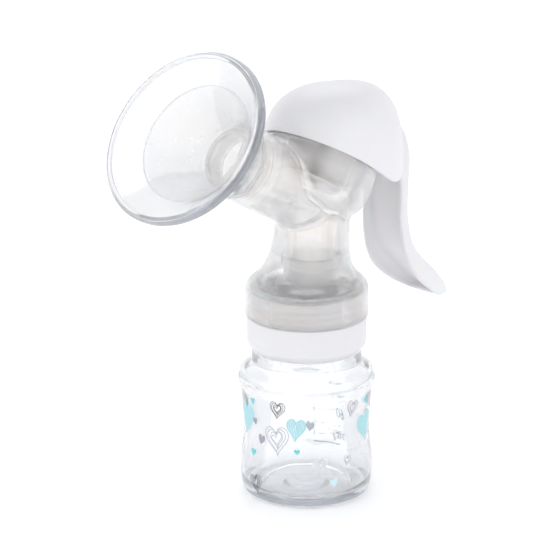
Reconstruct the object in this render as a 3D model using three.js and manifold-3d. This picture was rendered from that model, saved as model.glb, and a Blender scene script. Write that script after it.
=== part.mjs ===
// Manual breast pump on its feeding bottle.
// Millimetres, +Z up. The origin is the middle of the bottle's base, on the bottle's axis.
// The breast shield looks toward -X, the squeeze lever hangs on the +X side, and Y = 0 is the mirror plane.
import * as THREE from 'three';
import { mergeVertices } from 'three/addons/utils/BufferGeometryUtils.js';
import Module from 'manifold-3d';

const wasm = await Module();
wasm.setup();

// ---------- driving dimensions ----------

const GAP = 0.3; // room between two pieces that touch
const ROUND = 36; // segments of the large turned pieces
const FINE = 24; // segments of the small turned pieces

// bottle
const BASE_PAD_R = 9; // flat pad in the middle of the base
const BASE_RING_IN = 21;
const BASE_RING_OUT = 28.6;
const BASE_GROOVE = 0.8;
const BOTTLE_WALL = 1.9;
const NECK_R = 26.8; // collar under the white ring
const NECK_Z = 67.4;
const COLLAR_Z = 72.8;
const FINISH_R = 23.6; // threaded mouth
const MOUTH_IN = 21.4;
const MOUTH_Z = 87;

// adapter ring
const RING_R = 29.1;
const RING_Z = COLLAR_Z + GAP;
const RING_TOP = 89.8;
const BOSS_R = 27.2; // upper thread that the pump body screws onto
const BOSS_IN = 22.6;
const BOSS_TOP = 102;
const SEAL_T = 1.5;

// pump body
const SKIRT_R = 30;
const SKIRT_IN = BOSS_R + 0.7;
const SKIRT_Z = RING_TOP + GAP;
const LEDGE_Z = BOSS_TOP + SEAL_T + 2 * GAP;
const SHOULDER_Z = 104.5;
const NECK_WALL = 2;
const TUBE_X = 3.5; // the tube inside the neck, down to the valve
const TUBE_R = 12.8;
const TUBE_IN = 11;
const TUBE_END = 112;
const TUBE_TOP = 150; // hidden in the branch
const VALVE_TOP = 119.6;
const LEAN = 3.5; // how far the neck leans toward the lever
const LEAN_FROM = 106;
const LEAN_TO = 135;

// branch, shield and insert share one axis, rising toward -X
const BRANCH_Z = 149.2; // where that axis crosses the bottle's axis
const BRANCH_RISE = 27.7; // degrees above level
const SOCKET_R = 17.6;
const SOCKET_IN = 15.6;
const SOCKET_END = 57;
const SPIGOT_R = 15.2;
const SPIGOT_IN = 13.7;
const SPIGOT_END = 49;
const TUNNEL_R = 12;
const MOUTH_TILT = 7.7; // the mouth leans back further than the branch does
const BEND_FROM = 60;
const BEND_TO = 86;

// head: bowl, diaphragm, stem and hood share one axis, leaning toward +X
const HEAD_X = 9.5;
const HEAD_Z = 168;
const HEAD_LEAN = 31; // degrees from upright
const COLLAR_R = 26.2;
const BOWL_IN = 24.4;
const COLLAR_TOP = 5.6;

// hood
const HOOD_X = 12; // middle of its outline seen from above
const HOOD_FRONT = 28.6;
const HOOD_BACK = 48;
const HOOD_SIDE = 29.4;
const HOOD_TOP = 200.6;
const HOOD_WALL = 2;
const HOOD_SHIFT = 8; // the front leans back as it rises
const HOOD_CUT_X = 50.5; // open end where the lever comes out
const HOOD_FULLNESS = 2.7; // power of the curve from rim to top
const RIM_CURL_X = 30; // the rim lifts again behind this place
const RIM_CURL = 14;

// lever and stem
const HOOK_AT = 18; // place of the stem's cross bar on the head axis
const ARM = 29.5; // pivot to cross bar
const SWING = 20; // degrees of squeeze
const PIN_R = 2;
const PIN_HALF = 15.2;
const LEVER_HALF = 12.5;
const LEVER_WALL = 2.4;
const BAR_R = 2;
const STEM_R = 2.6;

const DEG = Math.PI / 180;
const headLean = HEAD_LEAN * DEG;
const hook = headPoint(HOOK_AT);
// half of the swing lies on each side of the line square to the stem
const armAngle = headLean - (SWING / 2) * DEG;
const pivot = new THREE.Vector2(hook.x + ARM * Math.cos(armAngle), hook.y - ARM * Math.sin(armAngle));

// ---------- materials ----------

function plastic(color, roughness, opacity = 1) {
  return new THREE.MeshStandardMaterial({ color, roughness, metalness: 0, opacity, transparent: opacity < 1 });
}

const clear = plastic(0xf2f6f8, 0.05, 0.3);
const translucent = plastic(0xe4e9f0, 0.2, 0.5);
const white = plastic(0xf4f4f6, 0.35);
const silicone = plastic(0xf1f1f0, 0.5, 0.8);

// ---------- helpers ----------

function headPoint(along) {
  return new THREE.Vector2(HEAD_X + along * Math.sin(headLean), HEAD_Z + along * Math.cos(headLean));
}

function smooth(from, to, value) {
  return THREE.MathUtils.smoothstep(value, from, to);
}

// A turned piece about +Z from [radius, height] points. An outline off the axis closes on itself.
function turned(outline, segments = ROUND) {
  const points = outline.map(([radius, height]) => new THREE.Vector2(radius, height));
  if (THREE.ShapeUtils.area(points) < 0) points.reverse();
  const onAxis = points.filter((point) => point.x === 0).length > 1;
  if (onAxis) {
    while (points[0].x !== 0 || points[points.length - 1].x !== 0) points.push(points.shift());
  } else {
    points.push(points[0].clone());
  }
  return new THREE.LatheGeometry(points, segments).rotateX(Math.PI / 2);
}

// A plate with an outline in X and Z, from y = -half to y = +half.
function plate(points, half, middle = 0) {
  const shape = new THREE.Shape(points);
  const geometry = new THREE.ExtrudeGeometry(shape, { depth: 2 * half, bevelEnabled: false, steps: 1 });
  return geometry.rotateX(Math.PI / 2).translate(0, middle + half, 0);
}

function crossRod(radius, half, x, z, segments = FINE) {
  return new THREE.CylinderGeometry(radius, radius, 2 * half, segments).translate(x, 0, z);
}

function box(x0, x1, y0, y1, z0, z1) {
  const geometry = new THREE.BoxGeometry(x1 - x0, y1 - y0, z1 - z0);
  return geometry.translate((x0 + x1) / 2, (y0 + y1) / 2, (z0 + z1) / 2);
}

// Moves every vertex of a geometry by a function that changes a vector in place.
function reshape(geometry, change) {
  const position = geometry.attributes.position;
  const point = new THREE.Vector3();
  for (let i = 0; i < position.count; i += 1) {
    point.fromBufferAttribute(position, i);
    change(point);
    position.setXYZ(i, point.x, point.y, point.z);
  }
  return geometry;
}

function solid(geometry) {
  const plain = new THREE.BufferGeometry();
  plain.setAttribute('position', geometry.attributes.position.clone());
  if (geometry.index) plain.setIndex(geometry.index.clone());
  const welded = mergeVertices(plain, 1e-4);
  const corners = welded.index.array;
  const kept = [];
  for (let i = 0; i < corners.length; i += 3) {
    const [a, b, c] = corners.slice(i, i + 3);
    if (a !== b && b !== c && c !== a) kept.push(a, b, c);
  }
  return new wasm.Manifold(
    new wasm.Mesh({
      numProp: 3,
      vertProperties: new Float32Array(welded.attributes.position.array),
      triVerts: new Uint32Array(kept),
    }),
  );
}

function geometryOf(body) {
  const mesh = body.getMesh();
  const geometry = new THREE.BufferGeometry();
  geometry.setAttribute('position', new THREE.BufferAttribute(new Float32Array(mesh.vertProperties), 3));
  geometry.setIndex(new THREE.BufferAttribute(new Uint32Array(mesh.triVerts), 1));
  return geometry;
}

function join(...bodies) {
  return bodies.reduce((whole, body) => whole.add(body));
}

function cut(body, ...tools) {
  return tools.reduce((whole, tool) => whole.subtract(tool), body);
}

// From a piece's own axis to the head axis, or to the branch axis.
function onHead(geometry) {
  return geometry.rotateY(headLean).translate(HEAD_X, 0, HEAD_Z);
}

function onBranch(geometry) {
  return geometry.rotateY(-(90 - BRANCH_RISE) * DEG).translate(0, 0, BRANCH_Z);
}

// The bell and its liner lean back toward the mouth.
function leanBack(point) {
  const tilt = MOUTH_TILT * DEG * smooth(BEND_FROM, BEND_TO, point.z);
  point.z -= point.x * Math.sin(tilt);
  point.x *= Math.cos(tilt);
}

function leanNeck(point) {
  point.x += LEAN * smooth(LEAN_FROM, LEAN_TO, point.z);
}

// ---------- bottle and ring ----------

function bottle() {
  const outside = [
    [0, 0], [BASE_PAD_R, 0], [BASE_PAD_R + 1, BASE_GROOVE], [BASE_RING_IN - 1, BASE_GROOVE], [BASE_RING_IN, 0],
    [BASE_RING_OUT, 0], [30.4, 1], [31.4, 3], [32.3, 8], [32.7, 14.5], [32.1, 21], [31.1, 27], [30.8, 31],
    [31, 37], [31.6, 47], [32.3, 54.5], [33.3, 56.8], [33.5, 59], [32.5, 61], [32, 63.2], [28.8, 65.2],
    [NECK_R, NECK_Z],
    [NECK_R, COLLAR_Z], [FINISH_R, COLLAR_Z], [FINISH_R, MOUTH_Z],
  ];
  const inside = [
    [MOUTH_IN, MOUTH_Z], [MOUTH_IN, COLLAR_Z], [NECK_R - 2.4, NECK_Z], [27.4, 63.4], [30.4, 61.2],
    [33 - BOTTLE_WALL, 58], [31.6 - BOTTLE_WALL, 47], [30.8 - BOTTLE_WALL, 31], [32.7 - BOTTLE_WALL, 14.5],
    [31.4 - BOTTLE_WALL, 5.5], [27, 3.2], [0, 3.2],
  ];
  return turned([...outside, ...inside]);
}

function bottleSeal() {
  return turned([
    [20.2, MOUTH_Z + GAP], [24, MOUTH_Z + GAP], [24, MOUTH_Z + GAP + SEAL_T], [20.2, MOUTH_Z + GAP + SEAL_T],
  ], FINE);
}

function adapterRing() {
  const flangeZ = MOUTH_Z + SEAL_T + 2 * GAP;
  return turned([
    [24.6, RING_Z], [26.8, RING_Z], [RING_R, RING_Z + 3.4], [RING_R, RING_TOP], [BOSS_R, RING_TOP],
    [BOSS_R, BOSS_TOP], [BOSS_IN, BOSS_TOP], [BOSS_IN, flangeZ + 2.4], [19.4, flangeZ + 2.4],
    [19.4, flangeZ], [24.6, flangeZ],
  ]);
}

function headSeal() {
  const low = BOSS_TOP + GAP;
  return turned([[BOSS_IN + 0.6, low], [BOSS_R - 0.2, low], [BOSS_R - 0.2, low + SEAL_T],
    [BOSS_IN + 0.6, low + SEAL_T]], FINE);
}

// ---------- pump body and valve ----------

function bowlOutside() {
  return turned([
    [0, -25.5], [16.5, -25.5], [21.8, -24], [26.2, -20.2], [28.6, -14.5], [29.2, -6], [29, -0.8],
    [COLLAR_R, -0.8], [COLLAR_R, COLLAR_TOP], [0, COLLAR_TOP],
  ]);
}

function bowlInside() {
  return turned([
    [0, -23.4], [15.5, -23.4], [20, -21.8], [23.4, -18.6], [BOWL_IN, -13.5], [BOWL_IN, COLLAR_TOP + 2],
    [0, COLLAR_TOP + 2],
  ]);
}

function pumpBody() {
  const neckOutside = reshape(turned([
    [0, SKIRT_Z], [SKIRT_R - 0.6, SKIRT_Z], [SKIRT_R, SKIRT_Z + 0.8], [SKIRT_R, SHOULDER_Z - 0.6],
    [28.8, 106.6], [24.3, 110.6], [21.4, 114.4], [20, 118], [18.7, 125], [18.2, 134], [18.2, 146], [0, 146],
  ]), leanNeck);
  const neckInside = reshape(turned([
    [0, SKIRT_Z - 5], [SKIRT_IN, SKIRT_Z - 5], [SKIRT_IN, LEDGE_Z], [BOSS_IN, LEDGE_Z], [22.2, 110.2],
    [19.2, 114.2], [18.2, 118], [16.9, 124], [18.2 - NECK_WALL, 132], [18.2 - NECK_WALL, 146], [0, 146],
  ]), leanNeck);
  const tube = new THREE.CylinderGeometry(TUBE_R, TUBE_R, TUBE_TOP - TUBE_END, ROUND);
  const bore = new THREE.CylinderGeometry(TUBE_IN, TUBE_IN, TUBE_TOP - TUBE_END + 6, ROUND);
  tube.rotateX(Math.PI / 2).translate(TUBE_X, 0, (TUBE_TOP + TUBE_END) / 2);
  bore.rotateX(Math.PI / 2).translate(TUBE_X, 0, (TUBE_TOP + TUBE_END) / 2 - 1);
  const branch = solid(onBranch(turned([
    [0, -9], [9, -8], [14.5, -4.5], [17, 0], [SOCKET_R, 4], [SOCKET_R, SOCKET_END], [0, SOCKET_END],
  ])));
  const branchBore = solid(onBranch(turned([
    [0, -7], [8, -6], [12.8, -3], [15, 1], [SOCKET_IN, 5], [SOCKET_IN, SOCKET_END + 5], [0, SOCKET_END + 5],
  ])));
  const around = cut(solid(neckInside), solid(tube), branch);
  const hollow = cut(join(solid(neckOutside), branch), around, solid(bore), branchBore);
  const airHole = onHead(turned([[0, -30], [3, -30], [3, -20], [0, -20]], FINE).translate(-12, 0, 0));
  const bowl = solid(onHead(bowlOutside()));
  return geometryOf(cut(join(hollow, bowl), solid(onHead(bowlInside())), solid(airHole)));
}

// A cup that pushes over the tube and narrows to a flat bill with a slit.
function duckbillValve() {
  const billTop = 108;
  const billEnd = 97;
  function flatten(least) {
    return (point) => {
      point.y *= THREE.MathUtils.lerp(least, 1, smooth(billEnd - 2, billTop, point.z));
    };
  }
  const outside = turned([
    [0, billEnd], [8, billEnd], [9.2, 100], [11.4, 104], [13.4, billTop], [13.8, 113.8], [15, 114.8],
    [15, VALVE_TOP - 1], [14.4, VALVE_TOP], [0, VALVE_TOP],
  ], FINE);
  const inside = turned([
    [0, billEnd - 2], [6.6, billEnd - 2], [7.8, 100], [9.8, 104], [TUBE_IN, billTop + 0.5],
    [TUBE_IN, TUBE_END - 1.6], [TUBE_R + GAP, TUBE_END - GAP], [TUBE_R + GAP, VALVE_TOP + 2], [0, VALVE_TOP + 2],
  ], FINE);
  const cup = cut(solid(reshape(outside, flatten(0.24))), solid(reshape(inside, flatten(0.05))));
  return geometryOf(cup).translate(TUBE_X, 0, 0);
}

// ---------- shield and insert ----------

function shieldSeal() {
  const low = SOCKET_END + GAP;
  return onBranch(turned([
    [SPIGOT_R + 0.5, low], [SOCKET_R - 0.2, low], [SOCKET_R - 0.2, low + 1.2], [SPIGOT_R + 0.5, low + 1.2],
  ], FINE));
}

function breastShield() {
  const shoulder = SOCKET_END + 1.2 + 2 * GAP;
  const back = [
    [SPIGOT_R, SPIGOT_END], [SPIGOT_R, shoulder], [SOCKET_R - 0.1, shoulder], [17.9, 61.5], [20, 67.3],
    [24.2, 75.5], [29.4, 82.4], [34, 86.5], [38.2, 89.6],
  ];
  const rim = [[41.4, 91.8], [42.6, 93.4], [42.7, 95.4], [41.8, 96.8], [40.4, 97], [39.3, 96], [38.9, 94.2]];
  const front = [
    [36.2, 91.6], [32.6, 88.9], [28, 84.6], [22.5, 77.3], [18.2, 69.5], [15.2, 63], [SPIGOT_IN, 58],
    [SPIGOT_IN, SPIGOT_END],
  ];
  return onBranch(reshape(turned([...back, ...rim, ...front]), leanBack));
}

function massageInsert() {
  const outer = SPIGOT_IN - GAP;
  const back = [
    [outer, SPIGOT_END + 1.5], [outer, 58.2], [15.2 - GAP, 63.2], [18.2 - GAP, 69.8], [22.5 - GAP, 77.6],
    [28 - GAP, 84.9], [28.9, 86],
  ];
  const front = [
    [28.9, 87.5], [28.1, 87.9], [26.8, 86.9], [21.6, 79.8], [18, 73.6], [15.4, 69], [14, 66.4], [TUNNEL_R, 64],
    [TUNNEL_R, SPIGOT_END + 1.5],
  ];
  return onBranch(reshape(turned([...back, ...front]), leanBack));
}

// ---------- diaphragm and stem ----------

function diaphragm() {
  const seat = COLLAR_TOP + GAP;
  return onHead(turned([
    [COLLAR_R, seat], [COLLAR_R, seat + 2.4], [22.2, seat + 2.4], [21.9, -6], [19.2, -9.4], [8.5, -10.6],
    [6.6, -8.6], [6.6, -5], [STEM_R + GAP, -5], [STEM_R + GAP, -12.4], [19.6, -11.4], [23.6, -7.2],
    [BOWL_IN - 0.5, seat],
  ]));
}

function stem() {
  const rod = turned([
    [0, -17], [4.2, -17], [5.4, -15.2], [STEM_R, -14.6], [STEM_R, HOOK_AT], [0, HOOK_AT],
  ], FINE);
  const bar = new THREE.CylinderGeometry(BAR_R, BAR_R, 13, FINE).translate(0, 0, HOOK_AT);
  return onHead(geometryOf(join(solid(rod), solid(bar))));
}

function stemDisc() {
  return onHead(turned([[STEM_R + GAP, -14.2], [15, -14], [15, -12.9], [STEM_R + GAP, -12.8]], FINE));
}

// ---------- hood and lever ----------

// One height on the hood's rim for each place along the mirror plane.
function rimHeight(x) {
  const curl = Math.max(0, (x - RIM_CURL_X) / (HOOD_CUT_X - RIM_CURL_X));
  return HEAD_Z - (x - HEAD_X) * Math.tan(headLean) + RIM_CURL * curl * curl;
}

// A closed dome over the rim. The wall is how much smaller it is than the hood's outside.
function dome(wall, below) {
  const steps = 9;
  const outline = [[0, -below], [1, -below]];
  for (let i = below > 0 ? 0 : 1; i <= steps; i += 1) {
    const turn = (i / steps) * (Math.PI / 2);
    const power = 2 / HOOD_FULLNESS;
    const radius = i === steps ? 0 : Math.cos(turn) ** power;
    outline.push([radius, Math.sin(turn) ** power]);
  }
  return reshape(turned(outline, ROUND), (point) => {
    const reach = Math.hypot(point.x, point.y);
    const cosine = reach > 0 ? point.x / reach : 0;
    const shift = HOOD_SHIFT * Math.max(0, point.z);
    const length = (cosine > 0 ? HOOD_BACK : HOOD_FRONT) - wall;
    const rim = rimHeight(HOOD_X + length * cosine);
    point.x = HOOD_X + shift + point.x * (cosine > 0 ? length - shift : length);
    point.y *= HOOD_SIDE - wall;
    point.z = rim + point.z * (HOOD_TOP - wall - rim);
  });
}

function hood() {
  const outside = solid(dome(0, 0));
  const shell = cut(outside, solid(dome(HOOD_WALL, 0.12)));
  const tube = solid(crossRod(4.6, 30, pivot.x, pivot.y));
  const between = solid(box(0, 80, -LEVER_HALF - 0.5, LEVER_HALF + 0.5, 120, 220));
  const bosses = cut(tube, between).intersect(outside);
  const bore = solid(crossRod(PIN_R + GAP, PIN_HALF + GAP, pivot.x, pivot.y));
  const opening = solid(box(HOOD_CUT_X, 90, -40, 40, 100, 220));
  return geometryOf(cut(join(shell, bosses), bore, opening));
}

function leverOutline() {
  const outer = new THREE.SplineCurve([
    [50.4, 182.6], [56.4, 177.2], [60.8, 168], [62.4, 158], [61.8, 146], [61.4, 134], [62.4, 122], [65.6, 112.6],
    [72, 104.8], [82, 95.8], [92, 86.4], [99.6, 78.4],
  ].map(([x, z]) => new THREE.Vector2(x, z)));
  const inner = new THREE.SplineCurve([
    [97.8, 77], [84, 84], [70.4, 93.4], [61.6, 104], [57.2, 116], [55.8, 128], [56, 139], [55.4, 148], [50.4, 158],
  ].map(([x, z]) => new THREE.Vector2(x, z)));
  return { outer: outer.getPoints(22), inner: inner.getPoints(16) };
}

// The long arm is a channel, open toward the bottle. The short arm is a fork under the stem's cross bar.
function lever() {
  const { outer, inner } = leverOutline();
  const knuckle = [new THREE.Vector2(41, 167), new THREE.Vector2(39.4, 174), new THREE.Vector2(43, 181.4)];
  const blank = solid(plate([...outer, ...inner, ...knuckle], LEVER_HALF + 2));
  const pocketOuter = outer.slice(5, -2).map((point) => new THREE.Vector2(point.x - LEVER_WALL * 1.05, point.y));
  const pocket = solid(plate([
    ...pocketOuter, new THREE.Vector2(72, 70), new THREE.Vector2(30, 90), new THREE.Vector2(30, 160),
  ], LEVER_HALF - LEVER_WALL));
  const front = new THREE.SplineCurve([
    [7, 188], [9.2, 180], [11.4, 170], [LEVER_HALF, 158], [LEVER_HALF, 130], [13.4, 112], [14.4, 97], [13, 87],
    [9.4, 80], [0, 76.5],
  ].map(([y, z]) => new THREE.Vector2(y, z))).getPoints(18);
  const mirrored = front.slice(0, -1).reverse().map((point) => new THREE.Vector2(-point.x, point.y));
  const silhouette = new THREE.Shape([...front, ...mirrored]);
  const face = new THREE.ExtrudeGeometry(silhouette, { depth: 90, bevelEnabled: false });
  // the outline's own X and Y become the part's Y and Z
  const trim = solid(face.rotateX(Math.PI / 2).rotateZ(Math.PI / 2).translate(30, 0, 0));
  const arm = blank.intersect(trim);
  return geometryOf(cut(join(cut(arm, pocket), fork()), solid(crossRod(PIN_R + GAP, 30, pivot.x, pivot.y))));
}

function fork() {
  const prongHalf = 1.5;
  const prongMiddle = STEM_R + GAP + 0.3 + prongHalf;
  const along = new THREE.Vector2(hook.x - pivot.x, hook.y - pivot.y).normalize();
  const across = new THREE.Vector2(-along.y, along.x);
  function at(forward, side) {
    return new THREE.Vector2(
      pivot.x + along.x * forward + across.x * side,
      pivot.y + along.y * forward + across.y * side,
    );
  }
  const slot = BAR_R + GAP;
  const tip = ARM + 3.4;
  const outline = [
    at(-2, 4.4), at(-2, -4.4), at(16, -4.8), at(ARM - 5, -5), at(tip, -3.6), at(tip, -slot),
    at(ARM - slot - 0.5, -slot), at(ARM - slot - 0.5, slot), at(tip, slot), at(tip, 3.6), at(ARM - 5, 5),
    at(16, 4.8),
  ];
  const prongs = [-1, 1].map((side) => solid(plate(outline, prongHalf, side * prongMiddle)));
  return join(...prongs);
}

function pivotPin() {
  return crossRod(PIN_R, PIN_HALF, pivot.x, pivot.y);
}

// ---------- assembly ----------

const pieces = {
  bottle: [bottle, clear],
  bottle_seal: [bottleSeal, silicone],
  adapter_ring: [adapterRing, white],
  head_seal: [headSeal, silicone],
  pump_body: [pumpBody, translucent],
  duckbill_valve: [duckbillValve, silicone],
  shield_seal: [shieldSeal, silicone],
  breast_shield: [breastShield, translucent],
  massage_insert: [massageInsert, silicone],
  diaphragm: [diaphragm, silicone],
  stem: [stem, white],
  stem_disc: [stemDisc, white],
  hood: [hood, white],
  lever: [lever, white],
  pivot_pin: [pivotPin, white],
};

const group = new THREE.Group();
for (const [name, [make, material]] of Object.entries(pieces)) {
  const mesh = new THREE.Mesh(make(), material);
  mesh.name = name;
  group.add(mesh);
}

export default group;
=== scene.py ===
"""The looks of a manual breast pump on its feeding bottle.

Every shape is worked out in millimetres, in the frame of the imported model, and written to its mesh
in metres. The turned pieces are grids round their axis. The pump body and the lever are fields,
negative inside the plastic, whose zero surface is meshed and so gets moulded fillets.
"""

import math

import bmesh
import bpy
import numpy as np
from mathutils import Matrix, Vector


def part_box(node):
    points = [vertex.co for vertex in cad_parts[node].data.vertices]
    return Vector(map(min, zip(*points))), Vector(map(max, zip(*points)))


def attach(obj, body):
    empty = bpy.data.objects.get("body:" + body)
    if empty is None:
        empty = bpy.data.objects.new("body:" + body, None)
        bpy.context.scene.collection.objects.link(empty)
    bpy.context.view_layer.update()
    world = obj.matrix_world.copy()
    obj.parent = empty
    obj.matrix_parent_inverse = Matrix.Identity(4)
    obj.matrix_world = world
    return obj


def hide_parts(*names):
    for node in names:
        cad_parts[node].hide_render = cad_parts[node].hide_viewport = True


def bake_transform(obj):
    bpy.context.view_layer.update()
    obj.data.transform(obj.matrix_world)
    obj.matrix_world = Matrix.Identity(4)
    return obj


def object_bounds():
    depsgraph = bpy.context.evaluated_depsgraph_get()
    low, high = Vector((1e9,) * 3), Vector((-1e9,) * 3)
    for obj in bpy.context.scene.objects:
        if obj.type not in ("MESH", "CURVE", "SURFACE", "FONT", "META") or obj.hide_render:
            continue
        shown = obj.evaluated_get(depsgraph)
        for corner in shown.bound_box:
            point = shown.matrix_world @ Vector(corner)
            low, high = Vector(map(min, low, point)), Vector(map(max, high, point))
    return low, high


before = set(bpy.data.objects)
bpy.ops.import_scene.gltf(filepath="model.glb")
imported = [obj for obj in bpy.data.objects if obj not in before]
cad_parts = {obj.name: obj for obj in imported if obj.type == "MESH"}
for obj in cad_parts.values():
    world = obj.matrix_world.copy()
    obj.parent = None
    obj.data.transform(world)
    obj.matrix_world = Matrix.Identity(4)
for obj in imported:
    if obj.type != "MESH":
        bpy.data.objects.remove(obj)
cad_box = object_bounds()

# ---------- driving dimensions, in millimetres and degrees ----------

MM = 0.001
GAP = 0.3
AROUND = 168  # grid columns of the large turned pieces
BODY_CELL = 0.85
LEVER_CELL = 0.6

BOTTLE_WALL = 1.9
NECK_R = 26.8
NECK_Z = 67.4
COLLAR_Z = 72.8
FINISH_R = 23.6
MOUTH_IN = 21.4
MOUTH_Z = 87.0
PRINT_LIFT = 0.06
SCALE_AT = 16.0  # degrees round the bottle

RING_R = 29.1
RING_TOP = 89.8
BOSS_ROOT = 26.5
BOSS_CREST = 27.4
BOSS_IN = 22.6
BOSS_TOP = 102.0
SEAL_T = 1.5
THREAD_PITCH = 3.2

SKIRT_R = 30.0
SKIRT_IN = 27.9
SKIRT_Z = RING_TOP + GAP
LEDGE_Z = BOSS_TOP + SEAL_T + 2 * GAP
LEAN = 3.5
LEAN_FROM = 106.0
LEAN_TO = 135.0
TUBE_X = 3.5
TUBE_R = 12.8
TUBE_IN = 11.0
TUBE_END = 112.0
VALVE_TOP = 119.6

BRANCH_Z = 149.2
BRANCH_RISE = math.radians(27.7)
SOCKET_R = 17.6
SOCKET_IN = 15.6
SOCKET_END = 57.0
SPIGOT_R = 15.2
SPIGOT_IN = 13.7
SPIGOT_END = 49.0
TUNNEL_R = 12.0
MOUTH_TILT = math.radians(7.7)
BEND_FROM = 60.0
BEND_TO = 86.0

HEAD_X = 9.5
HEAD_Z = 168.0
HEAD_LEAN = math.radians(31)
COLLAR_R = 26.2
BOWL_IN = 24.4
COLLAR_TOP = 5.6

HOOD_X = 12.0
HOOD_FRONT = 28.6
HOOD_BACK = 48.0
HOOD_SIDE = 29.4
HOOD_TOP = 200.6
HOOD_WALL = 2.0
HOOD_SHIFT = 8.0
HOOD_CUT_X = 50.5
HOOD_FULLNESS = 2.7
RIM_CURL_X = 30.0
RIM_CURL = 14.0

HOOK_AT = 18.0
ARM = 29.5
SWING = math.radians(20)
PIN_R = 2.0
PIN_HALF = 15.2
LEVER_HALF = 12.5
LEVER_WALL = 2.4
BAR_R = 2.0
STEM_R = 2.6

FLOOR_DROP = 0.0002  # metres, so that the bottle's foot and the floor don't share a plane
VIEW_AZIMUTH = -48
VIEW_ELEVATION = 17.3
VIEW_DISTANCE = 1.256  # metres

SIN_LEAN = math.sin(HEAD_LEAN)
COS_LEAN = math.cos(HEAD_LEAN)
HOOK = np.array([HEAD_X + HOOK_AT * SIN_LEAN, HEAD_Z + HOOK_AT * COS_LEAN])
ARM_ANGLE = HEAD_LEAN - SWING / 2
PIVOT = HOOK + ARM * np.array([math.cos(ARM_ANGLE), -math.sin(ARM_ANGLE)])

# ---------- small helpers ----------


def smooth(start, end, value):
    t = np.clip((value - start) / (end - start), 0, 1)
    return t * t * (3 - 2 * t)


def soft(points, radius=0.5, steps=4):
    """An outline with its corners rounded. A third number on a point is that corner's own reach.

    Points on the axis keep their place, and with a long reach the corners run into one curve."""
    outline = []
    count = len(points)
    for i, point in enumerate(points):
        here = np.array(point[:2], float)
        reach = point[2] if len(point) > 2 else radius
        if here[0] == 0 or reach == 0:
            outline.append(here)
            continue
        before = np.array(points[i - 1][:2], float) - here
        after = np.array(points[(i + 1) % count][:2], float) - here
        first = here + before * min(reach / np.linalg.norm(before), 0.5)
        last = here + after * min(reach / np.linalg.norm(after), 0.5)
        for k in range(steps + 1):
            t = k / steps
            outline.append((1 - t) ** 2 * first + 2 * t * (1 - t) * here + t * t * last)
    kept = [outline[0]]
    for point in outline[1:]:
        if np.linalg.norm(point - kept[-1]) > 1e-4:
            kept.append(point)
    return np.array(kept)


def curve(points, steps=8):
    """A smooth line through the points (Catmull-Rom)."""
    given = np.array(points, float)
    padded = np.vstack([2 * given[0] - given[1], given, 2 * given[-1] - given[-2]])
    line = []
    for a, b, c, d in zip(padded, padded[1:], padded[2:], padded[3:]):
        for k in range(steps):
            t = k / steps
            line.append(
                0.5 * (2 * b + (c - a) * t + (2 * a - 5 * b + 4 * c - d) * t**2
                       + (3 * b - a - 3 * c + d) * t**3)
            )
    line.append(given[-1])
    return np.array(line)


def on_head(p):
    """From a piece's own upright axis to the head axis, which leans toward the lever."""
    x, y, z = np.asarray(p, float).T
    return np.c_[HEAD_X + x * COS_LEAN + z * SIN_LEAN, y, HEAD_Z - x * SIN_LEAN + z * COS_LEAN]


def on_branch(p):
    """From a piece's own upright axis to the branch axis, which rises toward the shield."""
    x, y, z = np.asarray(p, float).T
    rise, run = math.sin(BRANCH_RISE), math.cos(BRANCH_RISE)
    return np.c_[x * rise - z * run, y, BRANCH_Z + x * run + z * rise]


def lean_back(p):
    """The bell and its liner lean back toward the mouth."""
    x, y, z = p.T
    tilt = MOUTH_TILT * smooth(BEND_FROM, BEND_TO, z)
    return np.c_[x * np.cos(tilt), y, z - x * np.sin(tilt)]


def bell_place(p):
    return on_branch(lean_back(p))


def laid_across(centre, side=1):
    """A placement from a piece's own upright axis to the line across the pump through (x, z)."""
    def place(p):
        return np.c_[centre[0] + p[:, 0], side * p[:, 2], centre[1] - side * p[:, 1]]

    return place


def mesh_object(name, points, faces):
    """A smooth-shaded object with merged vertices and outward normals, from millimetres."""
    mesh = bpy.data.meshes.new(name)
    mesh.from_pydata((np.asarray(points) * MM).tolist(), [], faces)
    work = bmesh.new()
    work.from_mesh(mesh)
    bmesh.ops.remove_doubles(work, verts=work.verts, dist=1e-7)
    bmesh.ops.dissolve_degenerate(work, edges=work.edges, dist=1e-8)
    bmesh.ops.recalc_face_normals(work, faces=work.faces)
    work.to_mesh(mesh)
    work.free()
    mesh.shade_smooth()
    piece = bpy.data.objects.new(name, mesh)
    bpy.context.collection.objects.link(piece)
    return piece


def turned(name, outline, place=None, around=None):
    """A turned piece about +Z from [radius, height] rows, closed on itself or on the axis."""
    columns = around or AROUND
    rows = len(outline)
    angle = np.arange(columns) * 2 * math.pi / columns
    radius, height = outline[:, 0], outline[:, 1]
    points = np.stack([
        np.outer(np.cos(angle), radius), np.outer(np.sin(angle), radius),
        np.tile(height, (columns, 1)),
    ], -1).reshape(-1, 3)
    on_axis = radius[0] == 0 and radius[-1] == 0
    faces = []
    for i in range(columns):
        here, there = i * rows, (i + 1) % columns * rows
        for j in range(rows - 1 if on_axis else rows):
            k = (j + 1) % rows
            faces.append((here + j, there + j, there + k, here + k))
    return mesh_object(name, points if place is None else place(points), faces)


def finish_piece(piece, body, nodes, material):
    """The piece moves with a body, stands for CAD nodes and takes a material."""
    piece.data.materials.append(material)
    if body:
        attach(piece, body)
    if nodes:
        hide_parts(*nodes)
    return piece


# ---------- fields ----------


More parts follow.
